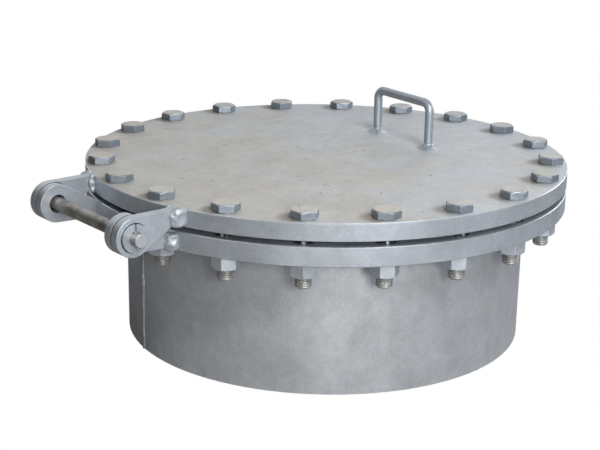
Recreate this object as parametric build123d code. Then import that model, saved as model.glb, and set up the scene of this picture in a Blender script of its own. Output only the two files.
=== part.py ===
from build123d import *

import os
from math import radians, sqrt, tan

# A tank manway: a flanged neck with a bolted blind cover that swings open on a pinned hinge.
# Lengths are in millimetres and angles in degrees.
# The origin is on the neck's axis at its foot and +Z points up.  The hinge is on the -X side with its
# pin along Y, and the handle is on the +X side.  Left (-Y) and right (+Y) are as seen by someone who
# stands at the handle and faces the hinge.

# Neck: a rolled and seam-welded shell that slips into the flange
neck_outer_diameter = 630.0
neck_wall = 8.0
neck_height = 212.0
neck_entry = 18.0
neck_slip_clearance = 2.0
seam_angle = 169.5
seam_bead_radius = 5.0
seam_bead_stand = 1.7

# Flange, cover and gasket, as steps outwards: bore, raised face, bolt circle, rim
raised_face_width = 18.0
bolt_circle_step = 17.5
rim_step = 25.0
rim_edge_break = 1.0
flange_thickness = 28.0
cover_thickness = 26.0
raised_face_height = 2.5
gasket_thickness = 3.0
gasket_inner_step = 3.0
flange_weld_leg = 8.0
inner_weld_step = 1.0

# Bolting
bolt_count = 20
bolt_diameter = 24.0
bolt_hole_clearance = 1.0
bolt_head_height = 12.0
hex_across_flats = 36.0
hex_top_circle = 34.0
hex_chamfer_angle = 30.0
washer_face_height = 0.8
nut_height = 20.5
nut_thread_clearance = 0.05
bolt_end_stand = 16.5
bolt_end_chamfer = 2.5
# How far each hexagon turned before it was tight, from the bolt next to the handle line onwards
head_turns = (12, 19, 24, 46, 28, 40, 7, 11, 29, 21, 50, 27, 38, 13, 48, 26, 8, 48, 29, 56)
nut_turns = (12, 41, 27, 3, 55, 33, 18, 48, 8, 22, 50, 36, 50, 30, 23, 1, 16, 36, 51, 16)

# Hinge: two ears on the flange between two ears on the cover, with one loose pin through all four
hinge_reach = 56.0
hinge_drop = 28.5
ear_thickness = 15.0
ear_end_radius = 28.0
ear_edge_break = 0.8
flange_ear_gap = 171.6
ear_side_clearance = 1.5
ear_root_lap = 1.0
cover_ear_root_height = 14.0
flange_ear_root_step = 2.3
# The ears' welds: how far a bead runs along the ear and along the rim, and how it stands proud
cover_ear_weld_run = 16.0
flange_ear_weld_run = 9.0
ear_weld_spread = 17.0
ear_weld_inner_spread = 12.0
ear_weld_tip = 1.5
ear_weld_lap = 3.0
ear_weld_chamfer = 4.0
cover_ear_weld_rise = 3.0
flange_ear_weld_drop = 2.0
pin_diameter = 20.0
pin_running_clearance = 0.06
flange_ear_pin_clearance = 3.0
pin_end_stand = 14.0
pin_end_chamfer = 1.2

# Pin retainers: a spring washer and a split pin at each end
washer_outer_diameter = 40.0
washer_thickness = 4.0
washer_bore_clearance = 0.3
washer_cut = 2.0
washer_side_clearance = 0.2
split_pin_diameter = 4.0
split_pin_hole_clearance = 0.1
split_pin_side_clearance = 0.3
split_pin_slit = 0.3
split_pin_leg_stand = 3.0
split_pin_leg_bend = 12.0
split_pin_eye_radius = 2.4
split_pin_lean = 14.0

# Handle: one round bar bent twice, with a weld round each foot
handle_bar_diameter = 14.0
handle_foot_spacing = 134.0
handle_height = 72.5
handle_bend_radius = 14.0
handle_distance = 166.0
handle_turn = -4.7
handle_weld_radius = 18.0
handle_weld_height = 8.0
handle_weld_hollow = 2.0

# Levels and radii that follow from the sizes above
neck_outer_radius = neck_outer_diameter / 2
neck_inner_radius = neck_outer_radius - neck_wall
flange_bore_radius = neck_outer_radius + neck_slip_clearance
raised_face_radius = flange_bore_radius + raised_face_width
bolt_circle_radius = raised_face_radius + bolt_circle_step
rim_radius = bolt_circle_radius + rim_step
bolt_radius = bolt_diameter / 2
bolt_hole_radius = bolt_radius + bolt_hole_clearance
hex_corner_radius = hex_across_flats / sqrt(3)
hex_chamfer_drop = (hex_corner_radius - hex_top_circle / 2) * tan(radians(hex_chamfer_angle))

flange_underside = neck_height
flange_top = flange_underside + flange_thickness
gasket_bottom = flange_top + raised_face_height
cover_underside = gasket_bottom + gasket_thickness + raised_face_height
cover_top = cover_underside + cover_thickness
nut_bottom = flange_underside - nut_height
bolt_end_bottom = nut_bottom - bolt_end_stand

pin_radius = pin_diameter / 2
hinge_x = -(rim_radius + hinge_reach)
hinge_z = cover_top - hinge_drop
flange_ear_inner_y = flange_ear_gap / 2
cover_ear_inner_y = flange_ear_inner_y + ear_thickness + ear_side_clearance
cover_ear_outer_y = cover_ear_inner_y + ear_thickness
washer_inner_y = cover_ear_outer_y + washer_side_clearance
split_pin_y = washer_inner_y + washer_thickness + split_pin_side_clearance + split_pin_diameter / 2
pin_half_length = washer_inner_y + washer_thickness + pin_end_stand

UP = (Align.CENTER, Align.CENTER, Align.MIN)
DOWN = (Align.CENTER, Align.CENTER, Align.MAX)
LEFT, RIGHT = -1, 1


def save(shape, name):
    """Write one node's STEP file."""
    export_step(shape, f"parts/{name}.step")


def ring(outer_radius, inner_radius, height, level):
    """Flat ring that stands on the given level."""
    return Pos(0, 0, level) * (Cylinder(outer_radius, height, align=UP)
                               - Cylinder(inner_radius, height, align=UP))


def at_bolts(make):
    """One piece per bolt, made by its number and placed on the bolt circle."""
    step = 360 / bolt_count
    return [Rot(0, 0, step * (number + 0.5)) * Pos(bolt_circle_radius, 0, 0) * make(number)
            for number in range(bolt_count)]


def bolt_holes(level, depth):
    """Drilled holes on the bolt circle, to cut from a flange."""
    return at_bolts(lambda number: Pos(0, 0, level) * Cylinder(bolt_hole_radius, depth, align=UP))


def hexagon(height, turn):
    """Hexagonal bar with its top corners turned off at the chamfer angle, on a round washer face."""
    profile = Polygon((0, 0), (hex_top_circle / 2, 0), (hex_top_circle / 2, washer_face_height),
                      (hex_corner_radius, washer_face_height), (hex_corner_radius, height - hex_chamfer_drop),
                      (hex_top_circle / 2, height), (0, height), align=None)
    blank = revolve(Plane.XZ * profile, axis=Axis.Z)
    bar = extrude(RegularPolygon(hex_corner_radius, 6, rotation=turn), amount=height)
    return bar & blank


def own_turn(turns, number):
    """Turn of one hexagon, measured from the X axis and not from its own spoke."""
    return turns[number % len(turns)] - 360 / bolt_count * (number + 0.5)


# ---------------------------------------------------------------- neck and flange


def make_neck():
    return ring(neck_outer_radius, neck_inner_radius, neck_height + neck_entry, 0)


def make_neck_seam_weld():
    """Low bead down the neck's lengthwise seam, from the flange weld to the foot."""
    bead_centre = neck_outer_radius + seam_bead_stand - seam_bead_radius
    bead = Pos(bead_centre, 0, 0) * Cylinder(seam_bead_radius, neck_height - flange_weld_leg, align=UP)
    return Rot(0, 0, seam_angle) * (bead - Cylinder(neck_outer_radius, neck_height, align=UP))


def make_neck_flange():
    plate = Cylinder(rim_radius, flange_thickness, align=UP)
    plate = chamfer(plate.edges().filter_by(GeomType.CIRCLE), rim_edge_break)
    face = Pos(0, 0, flange_thickness) * Cylinder(raised_face_radius, raised_face_height, align=UP)
    bore = Cylinder(flange_bore_radius, flange_thickness + raised_face_height, align=UP)
    return Pos(0, 0, flange_underside) * (plate + face - bore - bolt_holes(0, flange_thickness))


def make_flange_outer_weld():
    """Fillet weld between the neck's outside and the flange's underside."""
    reach = neck_outer_radius + neck_slip_clearance + flange_weld_leg
    profile = Polygon((neck_outer_radius, flange_underside), (reach, flange_underside),
                      (neck_outer_radius, flange_underside - flange_weld_leg), align=None)
    return revolve(Plane.XZ * profile, axis=Axis.Z)


def make_flange_inner_weld():
    """Fillet weld between the neck's top end and the flange's bore."""
    neck_top = neck_height + neck_entry
    profile = Polygon((neck_inner_radius + inner_weld_step, neck_top), (flange_bore_radius, neck_top),
                      (flange_bore_radius, neck_top + flange_weld_leg), align=None)
    return revolve(Plane.XZ * profile, axis=Axis.Z)


def make_gasket():
    return ring(raised_face_radius, flange_bore_radius + gasket_inner_step, gasket_thickness, gasket_bottom)


# ---------------------------------------------------------------- hinge ears


def rim_x(y):
    """Where the rim's cylinder is at the given distance from the centreline."""
    return -sqrt(rim_radius ** 2 - y ** 2)


def ear_plate(inner_y, root_low, root_high, bore_radius, side):
    """Flat ear: a round end on the pin's axis that runs by straight tangents to its root on the rim."""
    root_x = rim_x(inner_y + ear_thickness) + ear_root_lap
    end = Pos(hinge_x, hinge_z) * Circle(ear_end_radius)
    root = Line((root_x, root_low), (root_x, root_high))
    outline = make_hull(end.edges() + root.edges()) - Pos(hinge_x, hinge_z) * Circle(bore_radius)
    plate = extrude(Plane.XZ * outline, amount=-ear_thickness)
    plate = Pos(0, inner_y, 0) * plate
    round_edges = plate.edges().filter_by(lambda edge: edge.bounding_box().max.X < hinge_x + ear_end_radius)
    plate = chamfer(round_edges.filter_by(GeomType.CIRCLE), ear_edge_break)
    plate -= Cylinder(rim_radius, cover_top + ear_end_radius, align=UP)
    return plate if side == RIGHT else mirror(plate, Plane.XZ)


def make_cover_ear(side):
    return ear_plate(cover_ear_inner_y, cover_top - cover_ear_root_height, cover_top,
                     pin_radius + pin_running_clearance, side)


def make_flange_ear(side):
    return ear_plate(flange_ear_inner_y, flange_underside + flange_ear_root_step,
                     flange_top - flange_ear_root_step, pin_radius + flange_ear_pin_clearance, side)


def ear_weld(ear, rim_plate, inner_y, run, low, high, side):
    """Fat bead in the two corners between an ear and the rim, full at the rim and thin along the ear."""
    outer_y = inner_y + ear_thickness
    root_x = rim_x(outer_y)
    tip_x = root_x - run
    spread_y, inner_spread_y = outer_y + ear_weld_spread, inner_y - ear_weld_inner_spread
    plan = Polygon((tip_x, inner_y - ear_weld_tip), (rim_x(inner_spread_y), inner_spread_y),
                   (root_x + ear_weld_spread, inner_spread_y), (root_x + ear_weld_spread, spread_y),
                   (rim_x(spread_y), spread_y), (tip_x, outer_y + ear_weld_tip), align=None)
    bead = Pos(0, 0, low) * extrude(plan, amount=high - low)
    bead = chamfer(bead.faces().sort_by(Axis.Z)[0].edges() + bead.faces().sort_by(Axis.Z)[-1].edges(),
                   ear_weld_chamfer)
    bead = bead if side == RIGHT else mirror(bead, Plane.XZ)
    return bead - ear - rim_plate - Cylinder(rim_radius - ear_weld_lap, 2 * high, align=UP)


# ---------------------------------------------------------------- fasteners


def make_nut(number):
    """Hex nut under the flange, with its turned corners downwards."""
    nut = hexagon(nut_height, -own_turn(nut_turns, number))
    nut -= Cylinder(bolt_radius + nut_thread_clearance, nut_height, align=UP)
    return Pos(0, 0, flange_underside) * Rot(180, 0, 0) * nut


def make_bolt_end(number):
    """Threaded end of a bolt, from the flange's top face down past the nut."""
    shank = Cylinder(bolt_radius, flange_top - bolt_end_bottom, align=DOWN)
    return Pos(0, 0, flange_top) * chamfer(shank.edges().sort_by(Axis.Z)[0], bolt_end_chamfer)


def make_cover_bolt(number):
    """Head and upper shank of a bolt, down to the flange's top face."""
    head = Pos(0, 0, cover_top) * hexagon(bolt_head_height, own_turn(head_turns, number))
    return head + Pos(0, 0, cover_top) * Cylinder(bolt_radius, cover_top - flange_top, align=DOWN)


# ---------------------------------------------------------------- cover and handle


def make_cover_plate():
    plate = Cylinder(rim_radius, cover_thickness, align=UP)
    plate = chamfer(plate.edges().filter_by(GeomType.CIRCLE), rim_edge_break)
    plate += Cylinder(raised_face_radius, raised_face_height, align=DOWN)
    return Pos(0, 0, cover_underside) * (plate - bolt_holes(0, cover_thickness))


def on_handle(shape):
    """Place a piece that was made round the handle's own middle on the cover."""
    return Pos(handle_distance, 0, cover_top) * Rot(0, 0, handle_turn) * shape


def make_handle():
    half = handle_foot_spacing / 2
    line = FilletPolyline((0, -half, 0), (0, -half, handle_height), (0, half, handle_height), (0, half, 0),
                          radius=handle_bend_radius)
    section = Pos(0, -half, 0) * Circle(handle_bar_diameter / 2)
    return on_handle(sweep(section, path=line))


def make_handle_weld(side):
    """Hollow-faced fillet weld round one foot of the handle."""
    inner, outer, top = handle_bar_diameter / 2, handle_weld_radius, handle_weld_height
    face = SagittaArc((outer, 0), (inner, top), handle_weld_hollow)
    profile = make_face([Line((inner, 0), (outer, 0)), face, Line((inner, top), (inner, 0))])
    weld = revolve(Plane.XZ * profile, axis=Axis.Z)
    return on_handle(Pos(0, side * handle_foot_spacing / 2, 0) * weld)


# ---------------------------------------------------------------- hinge pin


def on_pin(shape, y=0.0):
    """Place a piece that was made round the Z axis on the hinge pin's axis."""
    return Pos(hinge_x, y, hinge_z) * Rot(0, -split_pin_lean, 0) * shape


def make_hinge_pin():
    """Round pin with a cross hole for a split pin near each end."""
    bar = Rot(90, 0, 0) * Cylinder(pin_radius, 2 * pin_half_length)
    bar = chamfer(bar.edges().filter_by(GeomType.CIRCLE), pin_end_chamfer)
    cross_hole = Cylinder(split_pin_diameter / 2 + split_pin_hole_clearance, pin_diameter)
    bar -= [Pos(0, side * split_pin_y, 0) * cross_hole for side in (LEFT, RIGHT)]
    return on_pin(bar)


def make_pin_washer(side):
    """Spring washer pressed flat, with its cut at the top."""
    outer, bore = washer_outer_diameter / 2, pin_radius + washer_bore_clearance
    washer = Circle(outer) - Circle(bore) - Pos(0, outer) * Rectangle(washer_cut, 2 * outer)
    washer = Rot(90, 0, 0) * extrude(washer, amount=washer_thickness / 2, both=True)
    return Pos(hinge_x, side * (washer_inner_y + washer_thickness / 2), hinge_z) * washer


def make_split_pin(side):
    """Half-round wire folded into an eye below the pin and two legs that open above it."""
    wire = split_pin_diameter / 2
    flat = split_pin_slit / 2
    leg_path = FilletPolyline((0, -pin_radius - wire), (0, pin_radius + wire / 2),
                              (split_pin_leg_stand * tan(radians(split_pin_leg_bend)),
                               pin_radius + split_pin_leg_stand), radius=wire)
    half_round = Circle(wire - flat) & Pos(wire, 0) * Rectangle(2 * wire, 2 * wire)
    leg = sweep(Pos(0, 0, -pin_radius - wire) * half_round, path=Plane.XZ * leg_path)
    leg = Pos(flat, 0, 0) * leg
    eye = Pos(0, 0, -pin_radius - wire - split_pin_eye_radius) * Rot(90, 0, 0) * Torus(
        split_pin_eye_radius, wire / 2)
    return on_pin(leg + mirror(leg, Plane.YZ) + eye, side * split_pin_y)


def main():
    os.makedirs("parts", exist_ok=True)
    neck_flange, cover_plate = make_neck_flange(), make_cover_plate()
    save(make_neck(), "neck")
    save(make_neck_seam_weld(), "neck_seam_weld")
    save(neck_flange, "neck_flange")
    save(make_flange_outer_weld(), "flange_outer_weld")
    save(make_flange_inner_weld(), "flange_inner_weld")
    save(make_gasket(), "gasket")
    save(Compound(children=at_bolts(make_nut)), "hex_nuts")
    save(Compound(children=at_bolts(make_bolt_end)), "bolt_ends")
    save(cover_plate, "cover_plate")
    save(Compound(children=at_bolts(make_cover_bolt)), "cover_bolts")
    save(make_handle(), "handle")
    save(make_hinge_pin(), "hinge_pin")
    for side, word in ((LEFT, "left"), (RIGHT, "right")):
        flange_ear, cover_ear = make_flange_ear(side), make_cover_ear(side)
        save(flange_ear, f"flange_ear_{word}")
        save(ear_weld(flange_ear, neck_flange, flange_ear_inner_y, flange_ear_weld_run,
                      flange_underside - flange_ear_weld_drop, flange_top - flange_ear_weld_drop, side),
             f"flange_ear_weld_{word}")
        save(cover_ear, f"cover_ear_{word}")
        save(ear_weld(cover_ear, cover_plate, cover_ear_inner_y, cover_ear_weld_run, cover_underside,
                      cover_top + cover_ear_weld_rise, side), f"cover_ear_weld_{word}")
        save(make_handle_weld(side), f"handle_weld_{word}")
        save(make_pin_washer(side), f"pin_washer_{word}")
        save(make_split_pin(side), f"split_pin_{word}")


main()
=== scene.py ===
import math

import bmesh
import bpy
from mathutils import Matrix, Vector, noise


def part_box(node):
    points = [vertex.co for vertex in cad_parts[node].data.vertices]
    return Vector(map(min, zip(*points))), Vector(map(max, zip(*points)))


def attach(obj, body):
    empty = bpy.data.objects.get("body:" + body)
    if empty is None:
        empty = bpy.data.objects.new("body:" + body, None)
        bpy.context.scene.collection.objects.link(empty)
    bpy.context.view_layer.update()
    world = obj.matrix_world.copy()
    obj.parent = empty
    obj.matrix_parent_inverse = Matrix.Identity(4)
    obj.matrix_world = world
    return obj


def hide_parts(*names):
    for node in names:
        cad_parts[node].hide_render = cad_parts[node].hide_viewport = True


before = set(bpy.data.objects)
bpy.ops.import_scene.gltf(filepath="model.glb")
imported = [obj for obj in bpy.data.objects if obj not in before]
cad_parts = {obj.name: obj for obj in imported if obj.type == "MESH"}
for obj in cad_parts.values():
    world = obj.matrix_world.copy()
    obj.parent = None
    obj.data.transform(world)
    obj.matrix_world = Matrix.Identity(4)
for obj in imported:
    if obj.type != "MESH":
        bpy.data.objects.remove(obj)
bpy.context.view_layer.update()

# A painted steel tank manway: flanged neck, bolted blind cover, pinned side hinge and a bar handle.
# Lengths are in metres.  The origin is on the neck's axis at its foot and +Z points up.

MM = 0.001
LEFT, RIGHT = -1, 1

# ---------------------------------------------------------------- places read from the frame

cover_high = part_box("cover_plate")[1]
neck_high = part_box("neck")[1]
head_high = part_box("cover_bolts")[1]
pin_low, pin_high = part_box("hinge_pin")
nut_low, nut_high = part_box("hex_nuts")
end_low, end_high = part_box("bolt_ends")
seam_low, seam_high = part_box("neck_seam_weld")

RIM_RADIUS = cover_high.y
NECK_RADIUS = neck_high.y
COVER_TOP = cover_high.z
FLANGE_TOP = end_high.z
PIN_X = (pin_low.x + pin_high.x) / 2
PIN_Z = (pin_low.z + pin_high.z) / 2
EAR_JOINT_Y = (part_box("flange_ear_right")[1].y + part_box("cover_ear_right")[0].y) / 2
WASHER_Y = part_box("pin_washer_right")[0].y

BOLT_COUNT = 20
BOLT_STEP = 2 * math.pi / BOLT_COUNT
BOLT_RADIUS = 12 * MM
BOLT_CIRCLE_RADIUS = (end_high.x - BOLT_RADIUS) / math.cos(BOLT_STEP / 2)
THREAD_PITCH = 3 * MM
THREAD_DEPTH = 1.6 * MM
THREAD_ROW = 0.5 * MM
TIP_CHAMFER = 2.5 * MM

# Hexagon: half the size across flats, the circle turned on its end and the washer face under it
SIXTH = math.pi / 3
HALF_FLATS = 18 * MM
HEX_CORNER = HALF_FLATS / math.cos(SIXTH / 2)
TOP_CIRCLE = 17 * MM
FACE_HEIGHT = 0.8 * MM
CHAMFER_SLOPE = math.tan(math.radians(30))
CHAMFER_CUTS = 36
SOFT_EDGE = 0.4 * MM
# A nut's bore has a countersink this wide and deep at its chamfered end
COUNTERSINK_WIDTH = 1.5 * MM
COUNTERSINK_DEPTH = 1.2 * MM
# How far each hexagon turned before it was tight, from the bolt next to the handle line onwards
HEAD_TURNS = (12, 19, 24, 46, 28, 40, 7, 11, 29, 21, 50, 27, 38, 13, 48, 26, 8, 48, 29, 56)
NUT_TURNS = (12, 41, 27, 3, 55, 33, 18, 48, 8, 22, 50, 36, 50, 30, 23, 1, 16, 36, 51, 16)
# Where one thread starts after the one before, in degrees
THREAD_TURN = 0.37 * 360


# ---------------------------------------------------------------- shader helpers

# Sockets of the colour Mix node, whose names repeat
FACTOR, UNDER, OVER = 0, 6, 7


def linear(hex_colour):
    """Linear RGBA of an sRGB hex colour."""
    channels = [int(hex_colour[i:i + 2], 16) / 255 for i in (1, 3, 5)]
    return [c / 12.92 if c <= 0.04045 else ((c + 0.055) / 1.055) ** 2.4 for c in channels] + [1.0]


def per_metre(millimetres):
    """Texture scale at which one feature of a pattern is about this long."""
    return 1 / (millimetres * MM)


def add_node(tree, kind, inputs=None, **settings):
    """Add one shader node, set its properties, and give its inputs values or links.  A node that is
    given as an input is linked by the first of its outputs that is in use."""
    made = tree.nodes.new(kind)
    for name, value in settings.items():
        setattr(made, name, value)
    for socket, value in (inputs or {}).items():
        if isinstance(value, bpy.types.Node):
            value = next(output for output in value.outputs if output.enabled)
        if isinstance(value, bpy.types.NodeSocket):
            tree.links.new(value, made.inputs[socket])
        else:
            made.inputs[socket].default_value = value
    return made


def new_material(name):
    """Material with an empty tree and its object coordinates."""
    material = bpy.data.materials.new(name)
    material.use_nodes = True
    tree = material.node_tree
    tree.nodes.clear()
    return material, tree, add_node(tree, "ShaderNodeTexCoord").outputs["Object"]


def all_past(tree, *ramps):
    """Mask, 1 where every value has gone from its start to its end, and 0 where one hasn't begun."""
    mask, *others = (
        add_node(tree, "ShaderNodeMapRange", {"Value": value, "From Min": start, "From Max": end},
                 interpolation_type="SMOOTHSTEP")
        for value, start, end in ramps)
    for other in others:
        mask = add_node(tree, "ShaderNodeMath", {0: mask, 1: other}, operation="MULTIPLY")
    return mask


def layered(tree, colour, coats):
    """Colour with every coat laid over it in turn, where the coat's mask is 1."""
    for mask, coat in coats:
        colour = add_node(tree, "ShaderNodeMix", {FACTOR: mask, UNDER: colour, OVER: coat},
                          data_type="RGBA")
    return colour


def specks(tree, where, spacing, radius, share):
    """Scattered round specks: about one per spacing, of which only this share shows."""
    cells = add_node(tree, "ShaderNodeTexVoronoi", {"Vector": where, "Scale": per_metre(spacing)})
    chosen = add_node(tree, "ShaderNodeSeparateColor", {"Color": cells.outputs["Color"]})
    reach = radius / spacing
    return all_past(tree, (cells, reach, 0.6 * reach), (chosen, 1 - share, 1 - share + 0.01))


# ---------------------------------------------------------------- where finishes begin and end


def height(tree, where):
    """Height in metres above the neck's foot."""
    return add_node(tree, "ShaderNodeSeparateXYZ", {0: where}).outputs["Z"]


def aside(tree, where):
    """Distance in metres from the hinge's middle plane."""
    place = add_node(tree, "ShaderNodeSeparateXYZ", {0: where})
    return add_node(tree, "ShaderNodeMath", {0: place.outputs["Y"]}, operation="ABSOLUTE")


def from_axis(tree, where, centre, plane):
    """Distance in metres from an axis through the centre, measured in the plane across it."""
    offset = add_node(tree, "ShaderNodeVectorMath", {0: where, 1: centre}, operation="SUBTRACT")
    flat = add_node(tree, "ShaderNodeVectorMath", {0: offset, 1: plane}, operation="MULTIPLY")
    return add_node(tree, "ShaderNodeVectorMath", {0: flat}, operation="LENGTH")


def from_bolt(tree, where):
    """Distance in metres from the nearest bolt's axis."""
    place = add_node(tree, "ShaderNodeSeparateXYZ", {0: where})
    angle = add_node(tree, "ShaderNodeMath", {0: place.outputs["Y"], 1: place.outputs["X"]},
                     operation="ARCTAN2")
    within = add_node(tree, "ShaderNodeMath", {0: angle, 1: BOLT_STEP}, operation="FLOORED_MODULO")
    spoke = add_node(tree, "ShaderNodeMath", {0: within, 1: BOLT_STEP / 2}, operation="SUBTRACT")
    reach = from_axis(tree, where, (0, 0, 0), (1, 1, 0))
    outwards, across = (
        add_node(tree, "ShaderNodeMath",
                 {0: reach, 1: add_node(tree, "ShaderNodeMath", {0: spoke}, operation=part)},
                 operation="MULTIPLY")
        for part in ("COSINE", "SINE"))
    offset = add_node(tree, "ShaderNodeCombineXYZ", {"X": outwards, "Y": across})
    return add_node(tree, "ShaderNodeVectorMath", {0: offset, 1: (BOLT_CIRCLE_RADIUS, 0, 0)},
                    operation="DISTANCE")


def shade_round_bolt_holes(tree, where):
    """Painted shade: a dark ring round the mouths of the flange's holes, in the gap under the cover."""
    return all_past(tree, (height(tree, where), FLANGE_TOP - 1.2 * MM, FLANGE_TOP - 0.6 * MM),
                    (from_bolt(tree, where), 15.5 * MM, 14 * MM))


def shade_at_ear_joint(tree, where):
    """Painted shade: the faces of a pair of ears that nearly touch, and a dark ring round the washer's
    edge.
    """
    y = aside(tree, where)
    radius = from_axis(tree, where, (PIN_X, 0, PIN_Z), (1, 0, 1))
    between = all_past(tree, (y, EAR_JOINT_Y - 1.5 * MM, EAR_JOINT_Y - MM),
                       (y, EAR_JOINT_Y + 1.5 * MM, EAR_JOINT_Y + MM), (radius, 30 * MM, 28 * MM))
    washer_ring = all_past(tree, (radius, 21.6 * MM, 20.6 * MM),
                           (y, WASHER_Y - 0.6 * MM, WASHER_Y - 0.3 * MM))
    return add_node(tree, "ShaderNodeMath", {0: between, 1: washer_ring}, operation="MAXIMUM")


def shadow_beside_heads(tree, where):
    """Painted shadow: a soft patch beside each bolt head, towards the camera's left."""
    towards_shadow = add_node(tree, "ShaderNodeVectorMath", {0: where, 1: HEAD_SHADOW_SHIFT}, operation="SUBTRACT")
    return all_past(tree, (from_bolt(tree, towards_shadow), 30 * MM, 12 * MM))


def past_split_pins(tree, where):
    """The pin's end faces."""
    return all_past(tree, (aside(tree, where), pin_high.y - 1.5 * MM, pin_high.y - 0.5 * MM))


def above_nut_bottom(tree, where):
    """All of a bolt's end but what comes out under the nut."""
    return all_past(tree, (height(tree, where), nut_low.z - 0.5 * MM, nut_low.z + 0.5 * MM))


def shank_highlight_spot(tree, where):
    """Painted highlight: a small light spot on the outer side of each shank, in the gap between the rims.
    """
    reach = from_axis(tree, where, (0, 0, 0), (1, 1, 0))
    farthest = BOLT_CIRCLE_RADIUS + BOLT_RADIUS
    return all_past(tree, (height(tree, where), FLANGE_TOP + 4 * MM, FLANGE_TOP + 3 * MM),
                    (reach, farthest - 0.3 * MM, farthest - 0.1 * MM))


# ---------------------------------------------------------------- finishes

# The thin paint colour also makes the painted highlight on the shanks
PAINT, PAINT_SHADE, THIN_PAINT_AND_HIGHLIGHT = "#B4BAC1", "#A6ACB2", "#A4A9AE"
THIN_PAINT_METALLIC = 0.5
# Near black for painted shade in gaps and hole mouths, and brown for the painted shadow beside the bolt
# heads
PAINTED_SHADE_BLACK, PAINTED_SHADOW_BROWN = "#1B1A1A", "#6E655C"
COARSE_GRIT, FINE_GRIT, LIGHT_SPOT, NICK = "#3E3C3A", "#4A4846", "#E4E6E8", "#E6E6E4"
# The dust gets browner towards the hinge: this much more per metre each way
DUST_DRIFT = (-0.65, 0.05, 0)
# Painted shadow beside the bolt heads: where its middle lies from their axes, towards the camera's left
HEAD_SHADOW_SHIFT = (-11 * MM, 9 * MM, 0)


def enamel(name, paint, shade, roughness=0.42, cloud=120, metallic=0.7, dust=None, dust_above=None,
           edge=PAINT, painted_shade=None, painted_shadow=None):
    """Silver-grey alkyd enamel sprayed on steel.  Its aluminium flake gives a wide soft highlight, and a
    grain that is drawn coarser than real flake, or it wouldn't show."""
    material, tree, where = new_material(name)
    grain, cloudy, smudges, clouds = (
        add_node(tree, "ShaderNodeTexNoise", {"Vector": where, "Scale": per_metre(size), "Detail": detail,
                                              "Roughness": 0.6})
        for size, detail in ((1.8, 3.0), (cloud, 4.0), (14, 4.0), (55, 5.0)))
    coats = [(cloudy, linear(paint))]
    if dust:
        # Dust lies on what faces up, thinner where sleeves and gloves have wiped it, and holds grit
        level = height(tree, where)
        lying = all_past(tree, (level, dust_above - 0.4 * MM, dust_above - 0.1 * MM))
        patches = add_node(tree, "ShaderNodeTexNoise", {"Vector": where, "Scale": per_metre(130),
                                                        "Detail": 6.0, "Roughness": 0.6})
        drift = add_node(tree, "ShaderNodeVectorMath", {0: where, 1: DUST_DRIFT}, operation="DOT_PRODUCT")
        drifted = add_node(tree, "ShaderNodeMath", {0: patches, 1: drift}, operation="ADD")
        smears_and_shadow = [(all_past(tree, (drifted, 0.3, 0.7)), linear(dust[1]))]
        # Painted shadow beside the bolt heads, a brown patch laid over the dust
        if painted_shadow:
            darker_patch = add_node(tree, "ShaderNodeMath", {0: painted_shadow(tree, where), 1: 0.75},
                             operation="MULTIPLY")
            smears_and_shadow.append((darker_patch, linear(PAINTED_SHADOW_BROWN)))
        grit = add_node(tree, "ShaderNodeMath", {0: lying, 1: specks(tree, where, 24, 2.1, 0.6)},
                        operation="MULTIPLY")
        # A lighter band on the edge just below the top: painted highlight, and wear from handling
        edge_wear_and_highlight = all_past(tree, (level, dust_above - 2.4 * MM, dust_above - 2.0 * MM),
                        (level, dust_above - 0.15 * MM, dust_above - 0.4 * MM))
        coats += [(lying, layered(tree, linear(dust[0]), smears_and_shadow)), (edge_wear_and_highlight, linear(edge)),
                  (grit, linear(COARSE_GRIT))]
    # Painted shade, near black, where the mask gives it: round hole mouths and between parts that nearly
    # touch
    if painted_shade:
        coats.append((painted_shade(tree, where), linear(PAINTED_SHADE_BLACK)))
    # Fine grit caught in the paint, and small spots of a lighter coat
    coats += [(specks(tree, where, 26, 1.1, 0.4), linear(FINE_GRIT)),
              (specks(tree, where, 30, 1.3, 0.3), linear(LIGHT_SPOT))]
    colour = layered(tree, linear(shade), coats)
    for pattern, spread in ((grain, 0.18), (smudges, 0.07), (clouds, 0.1)):
        uneven = add_node(tree, "ShaderNodeMapRange", {"Value": pattern, "To Min": 1 - spread,
                                                       "From Min": 0.25, "From Max": 0.75,
                                                       "To Max": 1 + spread})
        colour = add_node(tree, "ShaderNodeMix", {FACTOR: 1.0, UNDER: colour, OVER: uneven},
                          data_type="RGBA", blend_type="MULTIPLY")
    # Thicker and thinner coats shine a little differently, and dust dulls them
    gloss = add_node(tree, "ShaderNodeMapRange", {"Value": cloudy, "From Min": 0.3, "From Max": 0.7,
                                                  "To Min": roughness - 0.05, "To Max": roughness + 0.05})
    if dust:
        gloss = add_node(tree, "ShaderNodeMath", {0: lying, 1: 0.2, 2: gloss}, operation="MULTIPLY_ADD")
        metallic = add_node(tree, "ShaderNodeMapRange", {"Value": lying, "To Min": metallic,
                                                         "To Max": 0.35})
    peel = add_node(tree, "ShaderNodeBump", {"Height": grain, "Strength": 0.2, "Distance": 0.1 * MM})
    surface = add_node(tree, "ShaderNodeBsdfPrincipled", {"Base Color": colour, "Roughness": gloss,
                                                          "Metallic": metallic, "Normal": peel})
    add_node(tree, "ShaderNodeOutputMaterial", {"Surface": surface})
    return material


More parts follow.
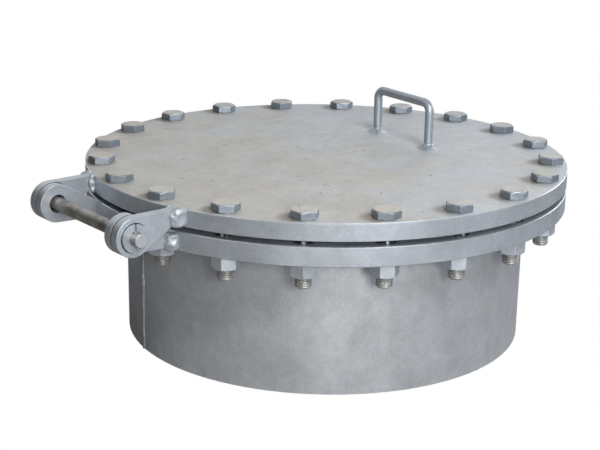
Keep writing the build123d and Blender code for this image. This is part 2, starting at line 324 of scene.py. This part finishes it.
def turned_steel(name, steel, darker_patch, painted, roughness=0.4, metallic=0.6):
    """Machined carbon steel with fine turning marks, stained and nicked, and a thin light coat where the
    mask gives it: real paint on the pin's ends and the bolts' ends, a painted highlight on the shanks."""
    material, tree, where = new_material(name)
    cuts, blotches = (
        add_node(tree, "ShaderNodeTexNoise", {"Vector": where, "Scale": per_metre(size), "Detail": detail,
                                              "Roughness": 0.6})
        for size, detail in ((2.5, 2.0), (22, 4.0)))
    paint_and_highlight = painted(tree, where)
    colour = layered(tree, linear(steel), ((all_past(tree, (blotches, 0.35, 0.65)), linear(darker_patch)),
                                           (specks(tree, where, 6, 1.2, 0.45), linear(NICK)),
                                           (paint_and_highlight, linear(THIN_PAINT_AND_HIGHLIGHT))))
    if metallic != THIN_PAINT_METALLIC:
        metallic = add_node(tree, "ShaderNodeMapRange", {"Value": paint_and_highlight, "To Min": metallic,
                                                         "To Max": THIN_PAINT_METALLIC})
    marks = add_node(tree, "ShaderNodeBump", {"Height": cuts, "Strength": 0.3, "Distance": 0.15 * MM})
    surface = add_node(tree, "ShaderNodeBsdfPrincipled", {"Base Color": colour, "Roughness": roughness,
                                                          "Metallic": metallic, "Normal": marks})
    add_node(tree, "ShaderNodeOutputMaterial", {"Surface": surface})
    return material


def jointing_sheet():
    """Compressed fibre gasket sheet: dark, dull and a little mottled."""
    material, tree, where = new_material("fibre_gasket_sheet")
    mottle = add_node(tree, "ShaderNodeTexNoise", {"Vector": where, "Scale": per_metre(3), "Detail": 4.0,
                                                   "Roughness": 0.6})
    fibres = layered(tree, linear("#35332F"), ((mottle, linear("#45423D")),))
    surface = add_node(tree, "ShaderNodeBsdfPrincipled", {"Base Color": fibres, "Roughness": 0.85})
    add_node(tree, "ShaderNodeOutputMaterial", {"Surface": surface})
    return material


# The heads' lighter edge colour is painted highlight on their chamfers, and wear
head_paint = enamel("satin_enamel_heads", "#878F97", "#7B838B", cloud=40, dust=("#B2B2B0", "#BBB7B0"),
                    dust_above=head_high.z, edge="#8E959C")
handle_paint = enamel("satin_enamel_handle", "#9DA5AC", "#8B939A", cloud=30, metallic=0.55)
# The light spot on each shank is a painted highlight
shank_steel = turned_steel("black_steel_shank", "#1C1C1E", "#121212", shank_highlight_spot)
# By the record's slot names
FINISHES = {
    "painted_cover": enamel("satin_enamel_cover", "#B0B6BD", "#A2A8AE", roughness=0.4,
                            dust=("#B3B7BC", "#B4B2AD"), dust_above=COVER_TOP, painted_shadow=shadow_beside_heads),
    "painted_rim": enamel("satin_enamel_rim", "#AEB4BB", "#A0A6AC", cloud=60, painted_shade=shade_round_bolt_holes),
    "painted_neck": enamel("satin_enamel_neck", "#B9BCC0", "#A9ACAF", cloud=70),
    "painted_ear": enamel("satin_enamel_ear", PAINT, PAINT_SHADE, cloud=40, painted_shade=shade_at_ear_joint),
    "painted_handle": handle_paint,
    # The weld's dark tone, laid in by a 9 mm cloud pattern, is painted shade for the bead's creases
    "painted_weld": enamel("weld_enamel_painted_shade", "#B4BAC0", "#6A7178", roughness=0.48, cloud=9,
                           metallic=0.45),
    "painted_fastener": enamel("satin_enamel_nuts", PAINT, PAINT_SHADE, cloud=40),
    "bare_thread": turned_steel("rolled_steel_thread", "#979797", "#7E7C7A", above_nut_bottom,
                                roughness=0.45, metallic=0.5),
    "bare_pin_steel": turned_steel("turned_steel_pin", "#93918E", "#6F6A65", past_split_pins),
    "gasket_sheet": jointing_sheet(),
}
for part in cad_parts.values():
    slot = part.material_slots[0]
    slot.material = FINISHES[slot.material.name]


# ---------------------------------------------------------------- pieces


def spun(mesh, profile, steps):
    """Add a closed shape turned round the Z axis from (radius, level) points.  Returns its vertices."""
    known = set(mesh.verts)
    points = [mesh.verts.new((radius, 0, level)) for radius, level in profile]
    edges = [mesh.edges.new(pair) for pair in zip(points, points[1:])]
    bmesh.ops.spin(mesh, geom=points + edges, cent=(0, 0, 0), axis=(0, 0, 1), angle=2 * math.pi,
                   steps=steps, use_merge=True)
    bmesh.ops.holes_fill(mesh, edges=[edge for edge in mesh.edges if edge.is_boundary], sides=0)
    return [vert for vert in mesh.verts if vert not in known]


def unit_column(mesh, rows, steps):
    """Add a closed column of radius 1 and height 1, ready to be shaped.  Returns its vertices."""
    return spun(mesh, [(1, row / rows) for row in range(rows + 1)], steps)


def add_piece(name, mesh, body, slot_name, replaced, crease=30, material=None):
    """Make an object of a finished mesh.  It rides on a body and stands for a node of the frame."""
    bmesh.ops.recalc_face_normals(mesh, faces=mesh.faces)
    data = bpy.data.meshes.new(name)
    mesh.to_mesh(data)
    mesh.free()
    data.shade_smooth()
    data.set_sharp_from_angle(angle=math.radians(crease))
    data.materials.append(material or FINISHES[slot_name])
    piece = bpy.data.objects.new(name, data)
    bpy.context.scene.collection.objects.link(piece)
    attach(piece, body)
    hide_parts(replaced)


def hexagon(foot, top, bore=0.0):
    """Hexagon with a washer face, a chamfered end and worn edges.  The chamfered end may point down."""
    mesh = bmesh.new()
    thick = abs(top - foot)
    middle = Matrix.Translation((0, 0, (thick + FACE_HEIGHT) / 2)) @ Matrix.Rotation(SIXTH / 2, 4, "Z")
    bmesh.ops.create_cone(mesh, cap_ends=True, segments=6, radius1=HEX_CORNER, radius2=HEX_CORNER,
                          depth=thick - FACE_HEIGHT, matrix=middle)
    for number in range(CHAMFER_CUTS):
        angle = 2 * math.pi * number / CHAMFER_CUTS
        outwards = Vector((math.cos(angle), math.sin(angle), 0))
        cut = bmesh.ops.bisect_plane(mesh, geom=mesh.verts[:] + mesh.edges[:] + mesh.faces[:],
                                     plane_co=outwards * TOP_CIRCLE + Vector((0, 0, thick)),
                                     plane_no=outwards * CHAMFER_SLOPE + Vector((0, 0, 1)),
                                     clear_outer=True)
        bmesh.ops.contextual_create(mesh, geom=cut["geom_cut"])
    end = max(mesh.faces, key=lambda face: face.calc_center_median().z)
    if bore:
        bmesh.ops.inset_region(mesh, faces=[end], thickness=TOP_CIRCLE - bore - COUNTERSINK_WIDTH)
        bmesh.ops.inset_region(mesh, faces=[end], thickness=COUNTERSINK_DEPTH, depth=-COUNTERSINK_DEPTH)
    bmesh.ops.recalc_face_normals(mesh, faces=mesh.faces)
    # Corners, rims of the flats and the foot, but not the shallow turned edges
    edge_wear_and_highlight = [edge for edge in mesh.edges if edge.calc_face_angle() > math.radians(50)]
    bmesh.ops.bevel(mesh, geom=edge_wear_and_highlight, offset=SOFT_EDGE, offset_type="OFFSET", segments=1, profile=0.5,
                    affect="EDGES", clamp_overlap=True, material=-1)
    washer_face = FACE_HEIGHT + SOFT_EDGE
    bmesh.ops.create_cone(mesh, cap_ends=True, segments=48, radius1=TOP_CIRCLE, radius2=TOP_CIRCLE,
                          depth=washer_face, matrix=Matrix.Translation((0, 0, washer_face / 2)))
    way = Matrix.Diagonal((1, 1, math.copysign(1, top - foot), 1))
    bmesh.ops.transform(mesh, matrix=Matrix.Translation((0, 0, foot)) @ way, verts=mesh.verts)
    return mesh


def bolt_end():
    """Threaded end that comes out under the nut, and its plain shank up to the flange's top."""
    mesh = bmesh.new()
    inside_nut = nut_low.z + 4 * MM
    levels = [end_low.z + row * THREAD_ROW for row in range(int((inside_nut - end_low.z) / THREAD_ROW))]
    for vert in spun(mesh, [(BOLT_RADIUS, level) for level in levels + [inside_nut, FLANGE_TOP]], 24):
        if vert.co.z > levels[-1] + THREAD_ROW / 5:
            continue
        up = vert.co.z - end_low.z
        turns = up / THREAD_PITCH - math.atan2(vert.co.y, vert.co.x) / (2 * math.pi)
        groove = THREAD_DEPTH * abs(2 * (turns % 1) - 1)
        vert.co.xy *= min(BOLT_RADIUS - groove, BOLT_RADIUS - TIP_CHAMFER + up) / BOLT_RADIUS
    return mesh


def bolt_shank():
    """Plain shank from the flange's top up through the cover."""
    mesh = bmesh.new()
    bmesh.ops.create_cone(mesh, cap_ends=True, segments=32, radius1=BOLT_RADIUS, radius2=BOLT_RADIUS,
                          depth=COVER_TOP - FLANGE_TOP,
                          matrix=Matrix.Translation((0, 0, (COVER_TOP + FLANGE_TOP) / 2)))
    return mesh


def at_bolts(single, turns):
    """One copy of a shape on each bolt's axis, turned by its own angle in degrees."""
    shape = bpy.data.meshes.new("shape")
    single.to_mesh(shape)
    single.free()
    mesh = bmesh.new()
    for number, turn in enumerate(turns):
        angle = BOLT_STEP * (number + 0.5)
        axis = Vector((BOLT_CIRCLE_RADIUS * math.cos(angle), BOLT_CIRCLE_RADIUS * math.sin(angle), 0))
        place = Matrix.Translation(axis) @ Matrix.Rotation(math.radians(turn), 4, "Z")
        known = set(mesh.verts)
        mesh.from_mesh(shape)
        bmesh.ops.transform(mesh, matrix=place, verts=[vert for vert in mesh.verts if vert not in known])
    bpy.data.meshes.remove(shape)
    return mesh


def add_fasteners():
    thread_starts = [THREAD_TURN * number for number in range(BOLT_COUNT)]
    add_piece("bolt_heads", at_bolts(hexagon(COVER_TOP, head_high.z), HEAD_TURNS), "cover",
              "painted_fastener", "cover_bolts", crease=20, material=head_paint)
    add_piece("bolt_shanks", at_bolts(bolt_shank(), [0] * BOLT_COUNT), "cover", "bare_thread",
              "cover_bolts", material=shank_steel)
    add_piece("flange_nuts", at_bolts(hexagon(nut_high.z, nut_low.z, BOLT_RADIUS), NUT_TURNS), "base",
              "painted_fastener", "hex_nuts", crease=20)
    add_piece("threaded_ends", at_bolts(bolt_end(), thread_starts), "base", "bare_thread", "bolt_ends",
              crease=70)


def rim_x(y):
    """Where the rims' cylinder is at a distance from the centreline."""
    return -math.sqrt(RIM_RADIUS ** 2 - y ** 2)


# A weld bead in the corner of an ear, in shares of that corner: how near its middle lies to the corner,
# and half its length and width
BEAD_SUNK, BEAD_REACH, BEAD_SPREAD = 0.4, 0.52, 0.95
# Its swells: how much wider, how fast they follow each other and how far they slant
SWELL, SWELL_RATE, SWELL_SLANT = 0.07, 4.2 * math.pi, 1.4
# Its lumps, and the finer ripples on them: how proud and how long
LUMP, LUMP_LENGTH = 2.2 * MM, 8 * MM
RIPPLE, RIPPLE_LENGTH = 0.45 * MM, 4 * MM
BEAD_OVERLAP = 3 * MM


def add_oval_bead(mesh, tip, root, corner, low, high, seed):
    """One weld run up the corner between an ear and a rim: an oval column from the tip on the ear to the
    root on the rim, with slanting swells where the welder paused and uneven lumps."""
    middle = (tip + root) / 2
    centre = middle.lerp(corner, BEAD_SUNK)
    long_way = (root - tip) * BEAD_REACH
    short_way = (middle - corner) * BEAD_SPREAD
    for vert in unit_column(mesh, 60, 48):
        across, over, along = vert.co
        # Full along most of its height, and round at both ends
        rounded = max((1 - abs(2 * along - 1) ** 4) ** 0.5, 0.02)
        edge = long_way * across + short_way * over
        pause = math.cos(SWELL_RATE * along + SWELL_SLANT * across + seed)
        point = centre + edge * rounded * (1 + SWELL * pause)
        point.z = low + (high - low) * along
        uneven = (LUMP * noise.noise(point / LUMP_LENGTH)
                  + RIPPLE * noise.noise(point / RIPPLE_LENGTH))
        vert.co = point + edge.normalized() * uneven * rounded


def add_ear_weld(kind, body, side, word, spread_share):
    """Lumpy beads in both corners of an ear, in place of its plain weld.  They spread over the rim by a
    share of what the plain weld does."""
    node = f"{kind}_ear_weld_{word}"
    low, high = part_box(node)
    ear_low, ear_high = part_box(f"{kind}_ear_{word}")
    outer, inner = (ear_high.y, ear_low.y) if side == RIGHT else (ear_low.y, ear_high.y)
    outer_end, inner_end = (high.y, low.y) if side == RIGHT else (low.y, high.y)
    mesh = bmesh.new()
    for face, end, tip_x, seed in ((outer, outer_end, low.x - BEAD_OVERLAP, 1.3 + side),
                                   (inner, inner_end, low.x + BEAD_OVERLAP, 4.1 + side)):
        end = face + spread_share * (end - face)
        add_oval_bead(mesh, Vector((tip_x, face, 0)), Vector((rim_x(end), end, 0)),
                      Vector((rim_x(face), face, 0)), low.z, high.z, seed)
    add_piece(f"{kind}_ear_bead_{word}", mesh, body, "painted_weld", node, crease=80)


HANDLE_RADIUS = 7 * MM
# How uneven the fillet's edge is, and how hollow the fillet: 1 would be a straight slope
FILLET_WAVE, FILLET_HOLLOW = 0.1, 1.7


def add_handle_weld(side, word):
    """Hollow fillet round a foot of the handle, with an uneven edge, in place of its plain weld."""
    node = f"handle_weld_{word}"
    low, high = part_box(node)
    centre = (low + high) / 2
    centre.z = low.z
    reach, rise = (high.x - low.x) / 2, high.z - low.z
    mesh = bmesh.new()
    for vert in unit_column(mesh, 8, 48):
        across, over, up = vert.co
        wave = 1 + FILLET_WAVE * noise.noise(Vector((2 * across, 2 * over, 5.0 * side)))
        out = HANDLE_RADIUS + (reach * wave - HANDLE_RADIUS) * (1 - up) ** FILLET_HOLLOW
        vert.co = centre + Vector((across * out, over * out, rise * up * wave))
    add_piece(f"handle_bead_{word}", mesh, "cover", "painted_weld", node, crease=80,
              material=handle_paint)


# The neck's seam: how far up the welder changed rods, and over what length the bead is thicker there
ROD_CHANGE, ROD_LENGTH = 110 * MM, 14 * MM
# Half of its thickness and of its width, each with what the thick place adds, how deep its middle lies
# under the neck's surface, and how far it strays sideways, in millimetres
PROUD, PROUD_EXTRA = 3.1, 1.3
WIDE, WIDE_EXTRA = 4.0, 2.2
SUNK_IN_NECK = 1.0
SWAY, SWAY_LENGTH = 1.5, 25 * MM
# Its unevenness and its fine scales, as shares of its size
SLOW_WAVE, SLOW_LENGTH = 0.15, 9 * MM
SCALE_WAVE, SCALE_LENGTH = 0.05, 0.9 * MM


def add_seam_bead():
    """Uneven bead down the neck's seam, with a thick place where the welder changed rods."""
    middle = (seam_low + seam_high) / 2
    outwards = Vector((middle.x, middle.y, 0)).normalized()
    sideways = Vector((-outwards.y, outwards.x, 0))
    mesh = bmesh.new()
    for vert in unit_column(mesh, 136, 20):
        across, over, up = vert.co
        level = (seam_high.z - seam_low.z) * up
        thick = math.exp(-((level - ROD_CHANGE) / ROD_LENGTH) ** 2)
        wave = (1 + SLOW_WAVE * noise.noise(Vector((0, 3.0, level / SLOW_LENGTH)))
                + SCALE_WAVE * math.sin(level / SCALE_LENGTH))
        sway = SWAY * noise.noise(Vector((level / SWAY_LENGTH, 0, 0)))
        proud, wide = (PROUD + PROUD_EXTRA * thick) * wave, (WIDE + WIDE_EXTRA * thick) * wave
        vert.co = (outwards * (NECK_RADIUS + (across * proud - SUNK_IN_NECK) * MM)
                   + sideways * (sway + over * wide) * MM + Vector((0, 0, level)))
    add_piece("neck_seam_bead", mesh, "base", "painted_weld", "neck_seam_weld", crease=80)


# How far the beads spread over each rim, as a share of what the plain welds do
FLANGE_BEAD_SHARE, COVER_BEAD_SHARE = 0.75, 0.55

add_fasteners()
add_seam_bead()
for side, word in ((LEFT, "left"), (RIGHT, "right")):
    add_ear_weld("flange", "base", side, word, FLANGE_BEAD_SHARE)
    add_ear_weld("cover", "cover", side, word, COVER_BEAD_SHARE)
    add_handle_weld(side, word)


# ---------------------------------------------------------------- studio

VIEW_AZIMUTH = math.radians(-39.58)
VIEW_ELEVATION = math.radians(17.11)
VIEW_DISTANCE = 2.1765
VIEW_ROLL = math.radians(0.98)
VIEW_TARGET = Vector((-0.0301, 0.0249, 0.1550))
LAMP_TARGET = Vector((0, 0, 0.2))
LAMP_DISTANCE = 3.0
FLOOR_RADIUS, FLOOR_LEVEL, TABLE_RADIUS = 20, -0.5 * MM, 6
TENT_RADIUS = 8.0
# The tent's openings in degrees from the camera's side: azimuth from and to, then elevation from and to
TENT_OPENINGS = ((-60, -40, 40, 90), (-30, 0, 0, 40), (30, 60, 30, 90), (120, 150, 30, 90),
                 (150, 210, 0, 40), (180, 300, 30, 90))
PALE, WHITE, BLACK_CLOTH = "#A0A0A0", "#FFFFFF", "#0C0B0A"


def direction(azimuth, elevation):
    """Unit vector towards a place round the object: azimuth 0 is on the -Y side."""
    level = math.cos(elevation)
    return Vector((math.sin(azimuth) * level, -math.cos(azimuth) * level, math.sin(elevation)))


def add_camera():
    data = bpy.data.cameras.new("camera")
    data.lens = 81.0
    data.sensor_width = 36.0
    data.clip_start, data.clip_end = 0.05, 50
    camera = bpy.data.objects.new("camera", data)
    bpy.context.scene.collection.objects.link(camera)
    back = direction(VIEW_AZIMUTH, VIEW_ELEVATION)
    right = Vector((0, 0, 1)).cross(back).normalized()
    up = back.cross(right)
    turned_right = right * math.cos(VIEW_ROLL) + up * math.sin(VIEW_ROLL)
    turned_up = up * math.cos(VIEW_ROLL) - right * math.sin(VIEW_ROLL)
    camera.matrix_world = (Matrix.Translation(VIEW_TARGET + back * VIEW_DISTANCE)
                           @ Matrix((turned_right, turned_up, back)).transposed().to_4x4())
    bpy.context.scene.camera = camera


def add_softbox(name, azimuth, elevation, size, power, colour=WHITE):
    """Square lamp that faces the manway, from a place given in degrees from the camera's side."""
    data = bpy.data.lights.new(name, "AREA")
    data.size = size
    data.energy = power
    data.color = linear(colour)[:3]
    lamp = bpy.data.objects.new(name, data)
    bpy.context.scene.collection.objects.link(lamp)
    towards = direction(VIEW_AZIMUTH + math.radians(azimuth), math.radians(elevation))
    lamp.location = LAMP_TARGET + towards * LAMP_DISTANCE
    lamp.rotation_mode = "QUATERNION"
    lamp.rotation_quaternion = towards.to_track_quat("Z", "Y")


def seen_directly(tree):
    """1 for rays from the eye, in a mirror or through glass, and 0 for the light on the object."""
    path = add_node(tree, "ShaderNodeLightPath")
    eye = add_node(tree, "ShaderNodeMath", {0: path.outputs["Is Camera Ray"],
                                            1: path.outputs["Is Glossy Ray"]}, operation="MAXIMUM")
    return add_node(tree, "ShaderNodeMath", {0: eye, 1: path.outputs["Is Transmission Ray"]},
                    operation="MAXIMUM")


def add_stage(name, mesh, colour, white_to_eye=False):
    """Stage object of one plain matt colour, which may be white to the eye."""
    data = bpy.data.meshes.new(name)
    mesh.to_mesh(data)
    mesh.free()
    material = bpy.data.materials.new(name)
    material.use_nodes = True
    tree = material.node_tree
    tree.nodes.clear()
    surface = add_node(tree, "ShaderNodeBsdfDiffuse", {"Color": linear(colour)})
    if white_to_eye:
        glow = add_node(tree, "ShaderNodeEmission", {"Strength": seen_directly(tree)})
        surface = add_node(tree, "ShaderNodeAddShader", {0: surface, 1: glow})
    add_node(tree, "ShaderNodeOutputMaterial", {"Surface": surface})
    data.materials.append(material)
    made = bpy.data.objects.new(name, data)
    bpy.context.scene.collection.objects.link(made)
    return made


def add_ground():
    """Floor that is white to the eye, and just above it a pale table top that the camera doesn't see:
    it takes the light and the object's shadow, and is what the paint reflects."""
    disc = bmesh.new()
    bmesh.ops.create_circle(disc, cap_ends=True, segments=64, radius=FLOOR_RADIUS,
                            matrix=Matrix.Translation((0, 0, FLOOR_LEVEL)))
    add_stage("floor", disc, PALE, white_to_eye=True)
    top = bmesh.new()
    bmesh.ops.create_circle(top, cap_ends=True, segments=64, radius=TABLE_RADIUS)
    table = add_stage("table_top", top, PALE)
    table.visible_camera = False


def add_dark_tent():
    """Black cloth dome that only reflections and stray light meet.  Its openings show the white
    surroundings."""
    mesh = bmesh.new()
    bmesh.ops.create_uvsphere(mesh, u_segments=36, v_segments=18, radius=TENT_RADIUS,
                              matrix=Matrix.Rotation(VIEW_AZIMUTH, 4, "Z"))
    unwanted = []
    for face in mesh.faces:
        middle = face.calc_center_median()
        azimuth = math.degrees(math.atan2(middle.x, -middle.y) - VIEW_AZIMUTH) % 360
        elevation = math.degrees(math.asin(middle.z / middle.length))
        if elevation < 0 or any(low <= elevation < high and (azimuth - start) % 360 < end - start
                                for start, end, low, high in TENT_OPENINGS):
            unwanted.append(face)
    bmesh.ops.delete(mesh, geom=unwanted, context="FACES")
    tent = add_stage("dark_tent", mesh, BLACK_CLOTH)
    tent.visible_camera = False


def set_world(light, strength):
    """Dim even light from all round, and plain white where the eye sees past the object."""
    world = bpy.data.worlds.new("studio")
    world.use_nodes = True
    tree = world.node_tree
    tree.nodes.clear()
    seen = seen_directly(tree)
    colour = layered(tree, linear(light), ((seen, linear(WHITE)),))
    level = add_node(tree, "ShaderNodeMapRange", {"Value": seen, "To Min": strength, "To Max": 1.0})
    back = add_node(tree, "ShaderNodeBackground", {"Color": colour, "Strength": level})
    add_node(tree, "ShaderNodeOutputWorld", {"Surface": back})
    bpy.context.scene.world = world


add_camera()
add_ground()
set_world("#E8DED2", 0.1)
add_dark_tent()
add_softbox("key", 14, 15, 0.8, 72)
add_softbox("high", 26, 44, 0.7, 50)
add_softbox("right", 66, 24, 1.6, 20, "#DCEEFF")
add_softbox("rear", 150, 40, 1.6, 14)
add_softbox("back_right", 128, 12, 1.0, 22)
add_softbox("back_left", 218, 10, 1.0, 9)
bpy.context.scene.view_settings.view_transform = "Standard"
